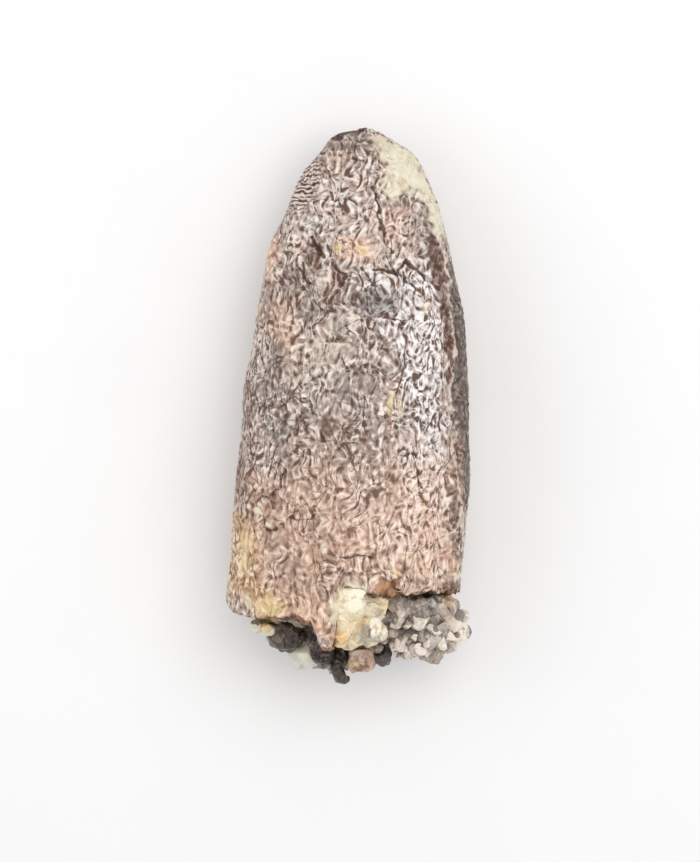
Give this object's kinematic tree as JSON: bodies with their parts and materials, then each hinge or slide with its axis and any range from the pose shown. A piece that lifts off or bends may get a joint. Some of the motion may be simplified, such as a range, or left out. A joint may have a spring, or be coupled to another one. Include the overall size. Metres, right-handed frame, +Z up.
{
  "type": "fossil tooth",
  "caption": "Fossil long-necked dinosaur tooth lying on its inner side: wrinkled crown, worn tip and a broken hollow base filled with sandstone and small stones.",
  "frame": {"origin": "middle of the flat worn spot underneath, on which the tooth lies", "axes": "+Y along the tooth to its tip, +Z up out of its outer face, +X to the right of someone who looks down on it with the tip away from them"},
  "size_m": [0.015, 0.0338, 0.0108],
  "materials": {
    "fossil_enamel": "semi-gloss mineralised enamel, pinkish brown with dark crevices",
    "sandstone": "dull grey cemented sand with pale grains",
    "calcite": "cream, waxy, with orange stains",
    "ironstone": "charcoal, slightly glossy",
    "chert": "greenish grey, dull",
    "quartz": "pale greenish grey, glossy on its facets",
    "feldspar": "pinkish tan, satin"
  },
  "bodies": {
    "root": {"tooth": "fossil_enamel", "sandstone_matrix": "sandstone", "calcite_lump": "calcite", "left_nodule": "ironstone", "right_nodule": "ironstone", "tail_nodule": "ironstone", "chert_grain": "chert", "quartz_pebble": "quartz", "feldspar_block": "feldspar"}
  },
  "joints": []
}
